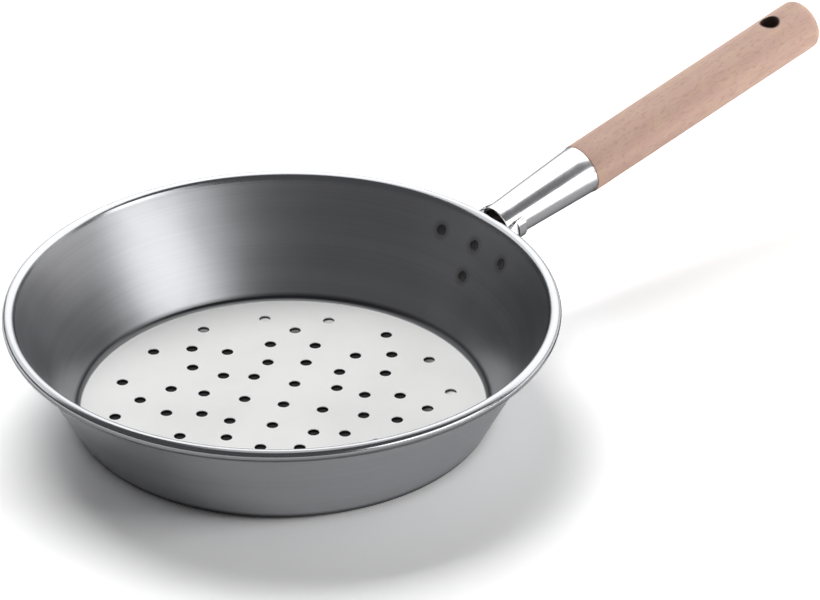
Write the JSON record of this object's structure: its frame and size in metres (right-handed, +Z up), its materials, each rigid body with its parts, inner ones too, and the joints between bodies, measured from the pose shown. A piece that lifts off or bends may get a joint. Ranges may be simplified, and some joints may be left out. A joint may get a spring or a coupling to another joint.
{
  "type": "chestnut roaster",
  "caption": "Shallow round steel roasting pan with a perforated base, flared wall and rolled rim, on a steel ferrule with a turned wooden grip that has a hanging hole.",
  "frame": {"origin": "middle of the base's underside, on the pan's axis", "axes": "+Z up along the pan's axis, +X along the handle as seen from above, +Y to the left of the handle"},
  "size_m": [0.5051, 0.28, 0.1093],
  "materials": {
    "pan_steel": "satin spun steel",
    "weld_steel": "burnt weld marks",
    "bracket_steel": "bright plated",
    "ferrule_steel": "bright plated",
    "beech": "sanded, unvarnished",
    "screw_steel": "bright plated"
  },
  "bodies": {
    "root": {"pan_body": "pan_steel", "spot_welds": "weld_steel", "handle_bracket": "bracket_steel", "ferrule": "ferrule_steel", "grip": "beech", "grip_screw": "screw_steel"}
  },
  "joints": []
}
